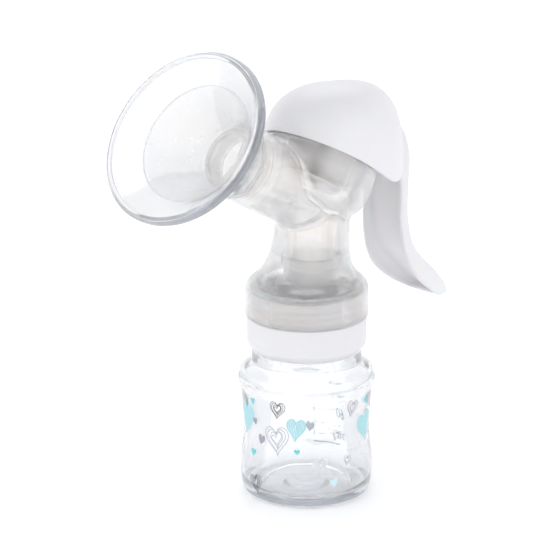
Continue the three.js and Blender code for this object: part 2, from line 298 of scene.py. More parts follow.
def outline_field(points, step=0.25, margin=6.0):
    """Signed distance to a closed outline, negative inside, read from a table between its cells."""
    outline = np.asarray(points, float)
    low = outline.min(0) - margin
    size = np.ceil((outline.max(0) + margin - low) / step).astype(int) + 1
    u, v = np.meshgrid(*(low[k] + step * np.arange(size[k]) for k in (0, 1)), indexing="ij")
    nearest = np.full(u.shape, np.inf)
    inside = np.zeros(u.shape, bool)
    for (ax, ay), (bx, by) in zip(outline, np.roll(outline, -1, 0)):
        ex, ey = bx - ax, by - ay
        t = np.clip(((u - ax) * ex + (v - ay) * ey) / (ex * ex + ey * ey + 1e-12), 0, 1)
        nearest = np.minimum(nearest, (u - ax - t * ex) ** 2 + (v - ay - t * ey) ** 2)
        if ey != 0:
            inside ^= ((ay > v) != (by > v)) & (u < ax + ex * (v - ay) / ey)
    distance = np.sqrt(nearest) * np.where(inside, -1, 1)

    def read(a, b):
        x = np.clip((a - low[0]) / step, 0, size[0] - 1.001)
        y = np.clip((b - low[1]) / step, 0, size[1] - 1.001)
        i, j = x.astype(int), y.astype(int)
        s, t = x - i, y - j
        near = distance[i, j] * (1 - s) + distance[i + 1, j] * s
        far = distance[i, j + 1] * (1 - s) + distance[i + 1, j + 1] * s
        return near * (1 - t) + far * t

    return read


def turned_field(outline):
    """The field of a turned piece whose outline starts and ends on the axis."""
    mirrored = outline[::-1] * [-1, 1]
    return outline_field(np.vstack([outline, mirrored]))


def blend_min(a, b, k):
    """Union with a fillet."""
    h = np.clip(k - np.abs(a - b), 0, None) / k
    return np.minimum(a, b) - h * h * k / 4


def blend_max(a, b, k):
    """Intersection with a rounded edge."""
    return -blend_min(-a, -b, k)


def room_for(node, margin=2):
    """The box of a CAD node in millimetres, with a margin round it."""
    low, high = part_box(node)
    return np.array(low) / MM - margin, np.array(high) / MM + margin


def skinned(name, field, low, high, step):
    """The closed surface where a field is zero, by surface nets, its points pulled onto the zero."""
    low, high = np.array(low, float), np.array(high, float)
    count = np.ceil((high - low) / step).astype(int) + 1
    axes = [low[k] + step * np.arange(count[k]) for k in range(3)]
    value = np.empty(count)
    for i, x in enumerate(axes[0]):
        y, z = np.meshgrid(axes[1], axes[2], indexing="ij")
        value[i] = field(np.c_[np.full(y.size, x), y.ravel(), z.ravel()]).reshape(y.shape)
    inside = value < 0
    cells = count - 1
    total = np.zeros((*cells, 3))
    hits = np.zeros(cells)
    crossings = []
    for axis in range(3):
        lower = [slice(None)] * 3
        upper = [slice(None)] * 3
        lower[axis], upper[axis] = slice(None, -1), slice(1, None)
        a, b = value[tuple(lower)], value[tuple(upper)]
        crossing = inside[tuple(lower)] != inside[tuple(upper)]
        share = np.where(crossing, a / np.where(crossing, a - b, 1), 0)
        crossings.append(crossing)
        others = [k for k in range(3) if k != axis]
        for first in (0, 1):
            for second in (0, 1):
                part = [slice(None)] * 3
                for k, offset in zip(others, (first, second)):
                    part[k] = slice(offset, offset + cells[k])
                seen = crossing[tuple(part)]
                hits += seen
                total[..., axis] += np.where(seen, share[tuple(part)], 0)
                total[..., others[0]] += seen * first
                total[..., others[1]] += seen * second
    used = hits > 0
    number = np.full(cells, -1)
    number[used] = np.arange(used.sum())
    index = np.argwhere(used)
    points = low + step * (index + total[used] / hits[used][:, None])
    faces = []
    for axis in range(3):
        others = [k for k in range(3) if k != axis]
        where = np.argwhere(crossings[axis])
        inner = np.all((where[:, others] > 0) & (where[:, others] < cells[others]), axis=1)
        where = where[inner]
        ring = []
        for first, second in ((0, 0), (1, 0), (1, 1), (0, 1)):
            cell = where.copy()
            cell[:, others[0]] -= first
            cell[:, others[1]] -= second
            ring.append(number[tuple(cell.T)])
        faces.append(np.stack(ring, 1))
    faces = np.vstack(faces)
    nudge = 0.04
    for _ in range(3):
        level = field(points)
        slope = np.stack([
            (field(points + nudge * np.eye(3)[k]) - field(points - nudge * np.eye(3)[k])) / (2 * nudge)
            for k in range(3)
        ], 1)
        steep = np.maximum((slope**2).sum(1), 0.2)
        points = points - np.clip(level / steep, -step, step)[:, None] * slope
    return mesh_object(name, points, faces.tolist())


# ---------- materials ----------


def plain_shader(name, colour, roughness, **more):
    material = bpy.data.materials.new(name)
    material.use_nodes = True
    shader = material.node_tree.nodes["Principled BSDF"]
    shader.inputs["Base Color"].default_value = (*colour, 1)
    shader.inputs["Roughness"].default_value = roughness
    for socket, value in more.items():
        shader.inputs[socket.replace("_", " ")].default_value = value
    return material, shader


def add_noise(material, scale, detail):
    nodes, links = material.node_tree.nodes, material.node_tree.links
    place = nodes.new("ShaderNodeTexCoord")
    noise = nodes.new("ShaderNodeTexNoise")
    noise.inputs["Scale"].default_value = scale
    noise.inputs["Detail"].default_value = detail
    links.new(place.outputs["Object"], noise.inputs["Vector"])
    return noise.outputs["Fac"]


def add_bump(material, shader, source, strength, distance):
    nodes, links = material.node_tree.nodes, material.node_tree.links
    bump = nodes.new("ShaderNodeBump")
    bump.inputs["Strength"].default_value = strength
    bump.inputs["Distance"].default_value = distance
    links.new(source, bump.inputs["Height"])
    links.new(bump.outputs["Normal"], shader.inputs["Normal"])


def vary_roughness(material, shader, source, least, most):
    nodes, links = material.node_tree.nodes, material.node_tree.links
    spread = nodes.new("ShaderNodeMapRange")
    spread.inputs["From Min"].default_value = 0.3
    spread.inputs["From Max"].default_value = 0.7
    spread.inputs["To Min"].default_value = least
    spread.inputs["To Max"].default_value = most
    links.new(source, spread.inputs["Value"])
    links.new(spread.outputs["Result"], shader.inputs["Roughness"])


def vary_colour(material, shader, source, first, second):
    nodes, links = material.node_tree.nodes, material.node_tree.links
    ramp = nodes.new("ShaderNodeValToRGB")
    ramp.color_ramp.elements[0].position = 0.35
    ramp.color_ramp.elements[0].color = (*first, 1)
    ramp.color_ramp.elements[1].position = 0.65
    ramp.color_ramp.elements[1].color = (*second, 1)
    links.new(source, ramp.inputs["Fac"])
    links.new(ramp.outputs["Color"], shader.inputs["Base Color"])


def absorb(material, colour, density):
    """Deepens the tint where the plastic is thick or is seen edge on."""
    nodes, links = material.node_tree.nodes, material.node_tree.links
    volume = nodes.new("ShaderNodeVolumeAbsorption")
    volume.inputs["Color"].default_value = (*colour, 1)
    volume.inputs["Density"].default_value = density
    links.new(volume.outputs["Volume"], nodes["Material Output"].inputs["Volume"])


def clear_plastic():
    """Bottle: glass clear, with the slow ripple of a blown wall."""
    material, shader = plain_shader(
        "clear_bottle_plastic", (0.99, 0.995, 1.0), 0.02, Transmission_Weight=1.0, IOR=1.47, Alpha=0.85
    )
    add_bump(material, shader, add_noise(material, 40, 1), 0.03, 0.0004)
    vary_roughness(material, shader, add_noise(material, 220, 3), 0.005, 0.02)
    absorb(material, (0.48, 0.56, 0.68), 12)
    return material


def translucent_plastic(name, clarity, cover, cool, warm, depth):
    """Pump body and shield: milky clear, between a cool and a warm tint, a little grain in the gloss."""
    material, shader = plain_shader(
        name, cool, 0.1, Transmission_Weight=clarity, IOR=1.45, Alpha=cover
    )
    vary_colour(material, shader, add_noise(material, 35, 2), cool, warm)
    add_bump(material, shader, add_noise(material, 90, 2), 0.08, 0.0005)
    vary_roughness(material, shader, add_noise(material, 300, 3), 0.06, 0.14)
    absorb(material, (0.48, 0.55, 0.65), depth)
    return material


def milky_silicone(name, clarity, cover, roughness):
    """Insert, valve, diaphragm and seals: milky, softly glossy, with a fine grain."""
    material, shader = plain_shader(
        name, (0.985, 0.985, 0.99), roughness, Transmission_Weight=clarity, IOR=1.41, Alpha=cover
    )
    vary_colour(material, shader, add_noise(material, 60, 3), (0.975, 0.975, 0.985), (0.995, 0.995, 0.995))
    add_bump(material, shader, add_noise(material, 900, 4), 0.1, 0.0002)
    vary_roughness(material, shader, add_noise(material, 500, 3), roughness - 0.06, roughness + 0.08)
    return material


def white_plastic(name, clarity):
    """Hood, lever and ring: white polypropylene with a satin, faintly pitted skin."""
    material, shader = plain_shader(
        name, (0.80, 0.795, 0.81), 0.35, Subsurface_Weight=0.15, Subsurface_Scale=0.002,
        Transmission_Weight=clarity,
    )
    vary_colour(material, shader, add_noise(material, 25, 3), (0.79, 0.785, 0.805), (0.815, 0.81, 0.82))
    add_bump(material, shader, add_noise(material, 1500, 4), 0.06, 0.0001)
    vary_roughness(material, shader, add_noise(material, 400, 3), 0.3, 0.42)
    return material


def print_ink(name, light, dark):
    """Printed ink: slightly uneven cover."""
    material, shader = plain_shader(name, light, 0.45)
    vary_colour(material, shader, add_noise(material, 900, 4), dark, light)
    vary_roughness(material, shader, add_noise(material, 700, 2), 0.35, 0.55)
    return material


CLEAR = clear_plastic()
BODY = translucent_plastic("body_plastic", 0.94, 0.54, (0.985, 0.985, 0.99), (1.0, 0.965, 0.92), 4)
BELL = translucent_plastic("bell_plastic", 0.95, 0.82, (0.985, 0.985, 0.99), (1.0, 0.975, 0.94), 28)
INSERT = milky_silicone("milky_insert_silicone", 0.6, 0.45, 0.2)
SILICONE = milky_silicone("milky_silicone", 0.6, 0.38, 0.4)
WHITE = white_plastic("white_plastic", 0.0)
RING_WHITE = white_plastic("ring_white_plastic", 0.04)

# ---------- bottle, its print, ring and seals ----------

BOTTLE_SIDE = [
    (28.8, 0, 1.2), (31, 1.2, 1.2), (32, 6, 3), (32.5, 14, 4), (31.9, 21, 4), (31, 28, 4), (30.9, 36, 4),
    (31.5, 47, 4), (32.1, 54.6, 1), (33.3, 56.4, 0.5), (33.4, 58.8, 0.5), (32.2, 60, 0.4),
    (32.6, 61, 0.4), (32.2, 62.9, 0.5), (28.8, 65.2, 0.8), (NECK_R, NECK_Z, 1.2), (NECK_R, COLLAR_Z, 0.4),
]


def wall_radius(height):
    side = soft([(0, 0), *BOTTLE_SIDE, (0, COLLAR_Z)], 1.0, 5)[1:-1]
    return np.interp(height, side[:, 1], side[:, 0])


def thread(radius, top, bottom, crest, pitch=THREAD_PITCH):
    """Outline rows of a threaded stretch, from bottom to top."""
    rows = []
    for height in np.arange(bottom, top, pitch / 8):
        ridge = 0.5 + 0.5 * math.cos(2 * math.pi * (height - bottom) / pitch)
        rows.append((radius + (crest - radius) * ridge**3, height, 0))
    return rows


def helical(p, low, high, root, pitch=THREAD_PITCH):
    """Turns the ring-shaped ridges of a threaded stretch into one rising ridge."""
    p = p.copy()
    radius = np.hypot(p[:, 0], p[:, 1])
    here = (radius > root - 0.2) & (p[:, 2] > low) & (p[:, 2] < high)
    rise = pitch * np.arctan2(p[:, 1], p[:, 0]) / (2 * math.pi)
    fade = smooth(low, low + pitch, p[:, 2]) * (1 - smooth(high - pitch, high, p[:, 2]))
    p[:, 2] += np.where(here, rise * fade, 0)
    return p


def make_bottle():
    inside = [
        (MOUTH_IN, MOUTH_Z, 0.5), (MOUTH_IN, COLLAR_Z, 2), (NECK_R - 2.4, NECK_Z, 2), (27.6, 63.6, 2),
        (30.6, 61, 2), (31.2, 57, 2), (31.5 - BOTTLE_WALL, 47, 4), (30.9 - BOTTLE_WALL, 36, 4),
        (31 - BOTTLE_WALL, 28, 4), (32.5 - BOTTLE_WALL, 14, 4), (30.4, 7, 3), (27.5, 4.6, 3), (22, 4, 3),
        (8, 5, 3), (0, 5.2),
    ]
    under = [(0, 0), (9, 0, 0.5), (11, 0.8, 1), (20, 0.8, 1), (22.4, 0, 0.6)]
    finish = [
        (FINISH_R, COLLAR_Z + 0.1, 0.3), *thread(FINISH_R, 84, 75, 24.2), (FINISH_R, 84.4, 0.3),
        (FINISH_R, MOUTH_Z, 0.6),
    ]
    outline = soft([*under, *BOTTLE_SIDE, *finish, *inside], 1.0, 5)
    shell = turned("bottle_shell", outline, lambda p: helical(p, 74, 85, FINISH_R))
    return finish_piece(shell, "bottle", ["bottle"], CLEAR)


def wrap(flat, azimuth, height, tilt=0.0):
    """Flat drawing points onto the bottle's side, as read from outside."""
    turn = math.radians(tilt)
    u = flat[:, 0] * math.cos(turn) - flat[:, 1] * math.sin(turn)
    v = flat[:, 0] * math.sin(turn) + flat[:, 1] * math.cos(turn)
    z = height + v
    radius = wall_radius(z) + PRINT_LIFT
    angle = math.radians(azimuth) + u / wall_radius(height)
    return np.c_[radius * np.cos(angle), radius * np.sin(angle), z]


def heart_line(size, tall, steps=40):
    """Half of a heart, from the notch down to the point, of that width, centred on its middle."""
    t = np.linspace(0.0, math.pi, steps)
    x = np.sin(t) ** 3 / 2
    y = (13 * np.cos(t) - 5 * np.cos(2 * t) - 2 * np.cos(3 * t) - np.cos(4 * t) + 2.5) / 29
    return np.c_[x, y * tall] * size


def filled_heart(size, tall):
    """(points, faces) of a filled heart, in strips from its middle line to its edge."""
    edge = heart_line(size, tall)
    middle = np.linspace(edge[0, 1], edge[-1, 1], len(edge))
    across = 5
    points, faces = [], []
    for side in (1, -1):
        start = len(points)
        for (x, y), centre in zip(edge, middle):
            for k in range(across + 1):
                share = k / across
                points.append((side * x * share, centre + (y - centre) * share))
        row = across + 1
        for i in range(len(edge) - 1):
            for k in range(across):
                corner = start + i * row + k
                quad = (corner, corner + 1, corner + row + 1, corner + row)
                faces.append(quad if side < 0 else quad[::-1])
    return np.array(points), faces


def ribbon(line, width):
    """(points, faces) of a drawn stroke."""
    along = np.gradient(line, axis=0)
    along /= np.maximum(np.linalg.norm(along, axis=1), 1e-9)[:, None]
    normal = np.c_[-along[:, 1], along[:, 0]] * width / 2
    points = np.vstack([line + normal, line - normal])
    count = len(line)
    faces = [(i, i + count, i + count + 1, i + 1) for i in range(count - 1)]
    return points, faces


def strokes(lines, width):
    """(points, faces) of several drawn strokes."""
    points, faces = [], []
    for line in lines:
        stroke, quads = ribbon(line, width)
        faces += [tuple(n + len(points) for n in quad) for quad in quads]
        points += stroke.tolist()
    return np.array(points), faces


def sketched_heart(size, tall):
    """A heart of rough pencil lines, one inside the other: four in a large heart, two in a small one."""
    count = 4 if size > 6.5 else 2
    lines = []
    for k in range(count):
        half = heart_line(size * (1 - 0.8 * k / count), tall)
        whole = np.vstack([half, half[-2::-1] * [-1, 1]])
        t = np.linspace(0, 1, len(whole))
        wobble = 0.03 * size * np.sin(5 * t + 2.1 * k)
        lines.append(whole + np.c_[wobble, 0.05 * size * k * (1 - t) + wobble * 0.5])
    return strokes(lines, 0.042 * size)


def hatched_heart(size, tall):
    """A heart filled with close upright pencil lines, inside one outline."""
    half = heart_line(size, tall)
    whole = np.vstack([half, half[-2::-1] * [-1, 1]])
    lines = [whole]
    peak = int(np.argmax(half[:, 0]))
    upper, lower = half[:peak + 1], half[peak:][::-1]
    for across in np.linspace(-0.44, 0.44, 11):
        reach = abs(across) * size
        top = np.interp(reach, upper[:, 0], upper[:, 1])
        bottom = np.interp(reach, lower[:, 0], lower[:, 1])
        t = np.linspace(0, 1, 6)
        lean = 0.03 * size * (t - 0.5)
        lines.append(np.c_[across * size + lean, bottom + (top - bottom) * t])
    return strokes(lines, 0.075 * size)


# azimuth, height of the middle, width, height over width, tilt, kind and ink of each printed heart
HEARTS = [
    (-165, 50.0, 7.6, 1.15, -6, "sketched", "grey"),
    (-148, 40.6, 9.0, 1.25, -4, "hatched", "pale_teal"),
    (-166, 34.0, 12.0, 1.2, 4, "sketched", "pale_grey"),
    (154, 40.2, 15.0, 1.2, -6, "filled", "pale_teal"),
    (167, 51.0, 3.6, 1.1, 14, "filled", "teal"),
    (169, 41.0, 3.4, 1.2, 10, "filled", "lilac"),
    (177, 32.6, 4.4, 1.3, -12, "filled", "lilac"),
    (167, 24.8, 4.0, 1.0, 0, "filled", "teal"),
    (-147, 29.4, 3.0, 1.0, 0, "filled", "teal"),
    (172, 9.4, 8.4, 1.1, 12, "sketched", "grey"),
    (-111, 37.0, 4.4, 1.15, -22, "sketched", "grey"),
    (-95, 49.0, 6.6, 1.3, -14, "sketched", "lilac"),
    (-100, 23.2, 4.0, 1.3, -14, "sketched", "grey"),
    (-74, 36.4, 13.5, 1.2, 8, "filled", "pale_teal"),
    (-74, 50.0, 4.0, 1.0, 0, "filled", "teal"),
    (38, 19.5, 4.6, 1.1, 10, "filled", "faint_teal"),
    (-126, 23.0, 6.8, 1.0, 6, "sketched", "faint"),
    (-114, 13.2, 4.0, 1.2, 14, "filled", "faint_teal"),
]


def make_hearts():
    inks = {
        "teal": print_ink("ink_teal", (0.20, 0.66, 0.68), (0.15, 0.58, 0.61)),
        "pale_teal": print_ink("ink_pale_teal", (0.45, 0.74, 0.79), (0.36, 0.65, 0.71)),
        "faint_teal": print_ink("ink_faint_teal", (0.62, 0.84, 0.90), (0.56, 0.79, 0.86)),
        "grey": print_ink("ink_grey", (0.12, 0.11, 0.12), (0.07, 0.065, 0.07)),
        "pale_grey": print_ink("ink_pale_grey", (0.58, 0.60, 0.64), (0.50, 0.52, 0.57)),
        "lilac": print_ink("ink_lilac", (0.42, 0.38, 0.46), (0.34, 0.31, 0.38)),
        "faint": print_ink("ink_faint_grey", (0.74, 0.74, 0.77), (0.68, 0.68, 0.72)),
    }
    for ink, material in inks.items():
        points, faces = [], []
        for azimuth, height, size, tall, tilt, kind, colour in HEARTS:
            if colour != ink:
                continue
            if kind == "filled":
                flat, quads = filled_heart(size, tall)
            elif kind == "hatched":
                flat, quads = hatched_heart(size, tall)
            else:
                flat, quads = sketched_heart(size, tall)
            faces += [tuple(n + len(points) for n in quad) for quad in quads]
            points += wrap(flat, azimuth, height, tilt).tolist()
        prints = mesh_object("bottle_hearts_" + ink, points, faces)
        finish_piece(prints, "bottle", [], material)


def number_shape(text, size):
    """(points, faces) of a printed number, centred on its own middle."""
    font = bpy.data.curves.new("number", "FONT")
    font.body = text
    font.size = size
    font.offset = 0.02
    font.align_x = "CENTER"
    font.align_y = "CENTER"
    holder = bpy.data.objects.new("number", font)
    mesh = bpy.data.meshes.new_from_object(holder)
    points = np.array([vertex.co[:2] for vertex in mesh.vertices])
    faces = [tuple(polygon.vertices) for polygon in mesh.polygons]
    bpy.data.objects.remove(holder)
    bpy.data.curves.remove(font)
    bpy.data.meshes.remove(mesh)
    return points, faces


def make_scale():
    """Two plain measuring scales side by side, without unit names, and a line under them."""
    first, spacing = 16.7, 10.7
    points, faces = [], []

    def add(flat, quads, azimuth, height):
        faces.extend(tuple(n + len(points) for n in quad) for quad in quads)
        points.extend(wrap(flat, azimuth, height).tolist())

    def dash(azimuth, height, length, width=0.3):
        line = np.array([[-length / 2, 0.0], [0.0, 0.0], [length / 2, 0.0]])
        add(*ribbon(line, width), azimuth, height)

    def number(text, size, azimuth, height):
        add(*number_shape(text, size), azimuth, height)

    for k, (whole, half) in enumerate((("30", "45"), ("60", "75"), ("90", "105"))):
        height = first + spacing * k
        number(whole, 5.0, SCALE_AT - 10, height)
        dash(SCALE_AT - 1, height + 0.6, 3.6)
        number(half, 1.7, SCALE_AT - 8, height + spacing / 2)
        dash(SCALE_AT - 2, height + spacing / 2, 2.0, 0.22)
    for k, text in enumerate(("1", "2", "3")):
        height = first + spacing * k
        number(text, 3.6, SCALE_AT + 18, height)
        dash(SCALE_AT + 11, height, 3.4)
        number(text + ".5", 1.6, SCALE_AT + 16, height + spacing / 2)
        dash(SCALE_AT + 10, height + spacing / 2, 1.8, 0.22)
    dash(SCALE_AT + 5, first - 4.4, 16.0, 0.5)
    scale = mesh_object("bottle_scale", points, faces)
    ink = print_ink("ink_scale", (0.22, 0.50, 0.60), (0.17, 0.43, 0.53))
    finish_piece(scale, "bottle", [], ink)


def make_ring():
    flange = MOUTH_Z + SEAL_T + 2 * GAP
    outline = soft([
        (24.6, COLLAR_Z + GAP, 0.3), (26.8, COLLAR_Z + GAP, 0.5), (RING_R, 76.5, 1.2),
        (RING_R, RING_TOP, 0.5), (BOSS_ROOT, RING_TOP, 0.3), *thread(BOSS_ROOT, 101, 92, BOSS_CREST),
        (BOSS_ROOT, 101.2, 0.2), (BOSS_ROOT - 0.3, BOSS_TOP, 0.3), (BOSS_IN, BOSS_TOP, 0.3),
        (BOSS_IN, flange + 2.4, 1), (19.4, flange + 2.4, 0.4), (19.4, flange, 0.4), (24.6, flange, 0.5),
    ], 0.4, 4)
    ring = turned("adapter_ring_shell", outline, lambda p: helical(p, 90.5, BOSS_TOP - 0.2, BOSS_ROOT))
    return finish_piece(ring, "ring", ["adapter_ring"], RING_WHITE)


def washer(name, inner, outer, low, thick, corner, place=None):
    outline = soft([(inner, low), (outer, low), (outer, low + thick), (inner, low + thick)], corner, 4)
    return turned(name, outline, place)


def make_seals():
    bottle_seal = washer("bottle_seal_ring", 20.2, 24, MOUTH_Z + GAP, SEAL_T, 0.35)
    finish_piece(bottle_seal, "turning_bottle_seal", ["bottle_seal"], SILICONE)
    head_seal = washer("head_seal_ring", BOSS_IN + 0.6, BOSS_CREST - 0.4, BOSS_TOP + GAP, SEAL_T, 0.35)
    finish_piece(head_seal, "turning_head_seal", ["head_seal"], SILICONE)
    shield_seal = washer(
        "shield_seal_ring", SPIGOT_R + 0.5, SOCKET_R - 0.2, SOCKET_END + GAP, 1.2, 0.3, on_branch
    )
    finish_piece(shield_seal, "head", ["shield_seal"], SILICONE)


# ---------- pump body and valve ----------


def body_field():
    """Neck, branch and bowl, hollow inside, with the tube down from the bowl and the air hole to it."""
    neck_out = turned_field(soft([
        (0, SKIRT_Z), (SKIRT_R, SKIRT_Z, 0.9), (SKIRT_R, 104.8, 3), (27.6, 108, 3), (24, 111, 3),
        (21.6, 114.2, 3), (20, 118, 3), (18.8, 125, 3), (18.2, 134, 3), (18.2, 146, 0), (0, 146),
    ], 1, 5))
    neck_in = turned_field(soft([
        (0, SKIRT_Z - 6), (SKIRT_IN, SKIRT_Z - 6, 0), (SKIRT_IN, LEDGE_Z, 0.6), (BOSS_IN, LEDGE_Z, 0.4),
        (22.2, 110.2, 2), (19.4, 114.4, 2), (18, 118.6, 2), (16.9, 124, 3), (16.2, 132, 3), (16.2, 146, 0),
        (0, 146),
    ], 1, 5))
    branch_out = turned_field(soft([
        (0, -9), (10, -8, 5), (15.6, -3.4, 4), (SOCKET_R, 4, 4), (SOCKET_R, SOCKET_END, 0.6), (0, SOCKET_END),
    ], 1, 6))
    branch_in = turned_field(soft([
        (0, -7), (8.6, -6, 4), (13.6, -2, 4), (SOCKET_IN, 5, 4), (SOCKET_IN, SOCKET_END + 4, 0),
        (0, SOCKET_END + 4),
    ], 1, 6))
    bowl_out = turned_field(soft([
        (0, -25.5), (17, -25.5, 5), (24.6, -23.4, 5), (28.8, -16, 5), (29.3, -6, 4), (29, -0.8, 0.7),
        (COLLAR_R, -0.8, 0.3), (COLLAR_R, COLLAR_TOP, 0.5), (0, COLLAR_TOP),
    ], 1, 6))
    bowl_in = turned_field(soft([
        (0, -23.4), (15.5, -23.4, 4), (21.6, -21.4, 4), (BOWL_IN, -14, 4), (BOWL_IN, COLLAR_TOP + 3, 0),
        (0, COLLAR_TOP + 3),
    ], 1, 6))
    rise, run = math.sin(BRANCH_RISE), math.cos(BRANCH_RISE)
    bore_low, bore_high = 108, 152
    bore_middle, bore_half = (bore_low + bore_high) / 2, (bore_high - bore_low) / 2
    air_at, air_r, air_depth, air_half = 12, 3, 25, 6

    def field(p):
        x, y, z = p.T
        from_axis = np.hypot(x - LEAN * smooth(LEAN_FROM, LEAN_TO, z), y)
        from_tube = np.hypot(x - TUBE_X, y)
        tube = np.maximum(from_tube - TUBE_R, TUBE_END - z)
        bore = np.maximum(from_tube - TUBE_IN, np.abs(z - bore_middle) - bore_half)
        along = -x * run + (z - BRANCH_Z) * rise
        from_branch = np.hypot(x * rise + (z - BRANCH_Z) * run, y)
        branch = branch_out(from_branch, along)
        u = (x - HEAD_X) * COS_LEAN - (z - HEAD_Z) * SIN_LEAN
        s = (x - HEAD_X) * SIN_LEAN + (z - HEAD_Z) * COS_LEAN
        from_head = np.hypot(u, y)
        outer = blend_min(neck_out(from_axis, z), branch, 3.5)
        around = blend_max(blend_max(neck_in(from_axis, z), -tube, 1.2), -branch, 2.0)
        hollow = blend_max(outer, -around, 0.6)
        hollow = blend_max(hollow, -bore, 0.6)
        hollow = blend_max(hollow, -branch_in(from_branch, along), 0.6)
        whole = blend_min(hollow, bowl_out(from_head, s), 2.5)
        whole = blend_max(whole, -bowl_in(from_head, s), 0.8)
        air = np.maximum(np.hypot(u + air_at, y) - air_r, np.abs(s + air_depth) - air_half)
        return blend_max(whole, -air, 0.6)

    return field


def make_body():
    body = skinned("pump_body_shell", body_field(), *room_for("pump_body"), BODY_CELL)
    return finish_piece(body, "head", ["pump_body"], BODY)


def make_valve():
    bill_top, bill_end = 108.0, 97.0
    slit_heights = [bill_end, 100, 104, bill_top + 0.5]
    slit_radii = [6.8, 7.8, 9.8, TUBE_IN]
    thinnest, wall_share = 0.05, 0.19  # of the round bill's depth, where the slit and the walls are flat
    outside = [
        (8, bill_end, 0.3), (9.2, 100, 2), (11.4, 104, 2), (13.4, bill_top, 1), (13.8, 113.8, 0.6),
        (15, 114.8, 0.6), (15, VALVE_TOP - 0.6, 0.8), (14.2, VALVE_TOP, 0.6),
    ]
    inside = [
        (TUBE_R + GAP, VALVE_TOP, 0.3), (TUBE_R + GAP, TUBE_END - GAP, 0.2), (TUBE_IN, TUBE_END - 1.6, 0.4),
        (TUBE_IN, bill_top + 0.5, 1), (9.8, 104, 2), (7.8, 100, 2), (6.8, bill_end, 0.2),
    ]

    def flatten(p):
        """Presses the bill flat toward its end, and sets the valve on the tube."""
        p = p.copy()
        share = smooth(bill_end - 2, bill_top, p[:, 2])
        radius = np.hypot(p[:, 0], p[:, 1])
        wall = smooth(0, 1.4, radius - np.interp(p[:, 2], slit_heights, slit_radii))
        least = thinnest + wall_share * wall
        p[:, 1] *= least + (1 - least) * share
        p[:, 0] += TUBE_X
        return p

    valve = turned("duckbill_valve_cup", soft([*outside, *inside], 0.4, 4), flatten, 96)
    return finish_piece(valve, "valve", ["duckbill_valve"], SILICONE)


# ---------- shield and insert ----------


def make_shield():
    shoulder = SOCKET_END + 1.2 + 2 * GAP
    back = [
        (SPIGOT_R, SPIGOT_END, 0.6), (SPIGOT_R, shoulder, 0.3), (SOCKET_R - 0.1, shoulder, 0.5),
        (17.9, 61.5, 3), (20, 67.3, 4), (24.2, 75.5, 4), (29.4, 82.4, 4), (34, 86.5, 4), (38.4, 89.7, 2),
        (40.4, 91.2, 0.8),
    ]
    rim = [
        (42.6, 92.4, 0.8), (42.75, 93.8, 0.2), (42.3, 94.2, 0.2), (42.75, 94.7, 0.2), (42.7, 95.8, 0.5),
        (41.6, 96.8, 0.3), (41.2, 96.5, 0.2), (40.8, 96.9, 0.3), (39.4, 97, 0.3), (38.9, 93.4, 0.3),
    ]
    front = [
        (36.2, 91.6, 1.5), (32.6, 88.9, 3), (28, 84.6, 4), (22.5, 77.3, 4), (18.2, 69.5, 4), (15.2, 63, 4),
        (SPIGOT_IN, 58, 3), (SPIGOT_IN, SPIGOT_END, 0.5),
    ]
    bell = turned("breast_shield_bell", soft([*back, *rim, *front], 1, 6), bell_place, AROUND + 48)
    return finish_piece(bell, "shield", ["breast_shield"], BELL)


def make_insert():
    outer = SPIGOT_IN - GAP
    back = [
        (outer, SPIGOT_END + 1.5, 0.4), (outer, 58.2, 3), (15.2 - GAP, 63.2, 3), (18.2 - GAP, 69.8, 4),
        (22.5 - GAP, 77.6, 4), (28 - GAP, 84.9, 3), (28.9, 86, 0.4),
    ]
    front = [
        (28.9, 87.5, 0.4), (28.1, 87.9, 0.5), (26.8, 86.9, 1.5), (21.6, 79.8, 3), (18.2, 73.6, 3),
        (15.6, 69, 1.5), (14.4, 67, 0.8), (TUNNEL_R, 64.4, 1.5), (TUNNEL_R, SPIGOT_END + 1.5, 0.5),
    ]
    outline = soft([*back, *front], 1, 6)
    # halfway through the wall, to tell its inner face from its outer one
    middle_heights = [50, 58, 63, 67, 73, 79, 86, 88]
    middle_radii = [12.7, 12.7, 13, 15.2, 18.9, 22.4, 27.6, 28.8]
    rib_angle, rib_spread, rib_height = 0.09, 0.035, 0.7
    flutes, flute_depth = 10, 0.25

    def ribbed(p):
        """A pair of short ribs at the top of the throat and fine flutes along the tunnel."""
        p = p.copy()
        radius = np.hypot(p[:, 0], p[:, 1])
        angle = np.arctan2(p[:, 1], p[:, 0])
        facing = radius < np.interp(p[:, 2], middle_heights, middle_radii)
        pair = np.exp(-(((np.abs(angle) - rib_angle) / rib_spread) ** 2))
        span = smooth(67.5, 69, p[:, 2]) * (1 - smooth(76, 78, p[:, 2]))
        wave = flute_depth * np.cos(angle * flutes)
        flute = wave * (1 - smooth(60, 63, p[:, 2])) * smooth(51, 53, p[:, 2])
        inward = np.where(facing, rib_height * pair * span + flute, 0)
        scale = 1 - inward / np.maximum(radius, 1)
        p[:, 0] *= scale
        p[:, 1] *= scale
        return bell_place(p)

    liner = turned("massage_insert_liner", outline, ribbed, AROUND + 72)
    return finish_piece(liner, "insert", ["massage_insert"], INSERT)


# ---------- diaphragm and stem ----------


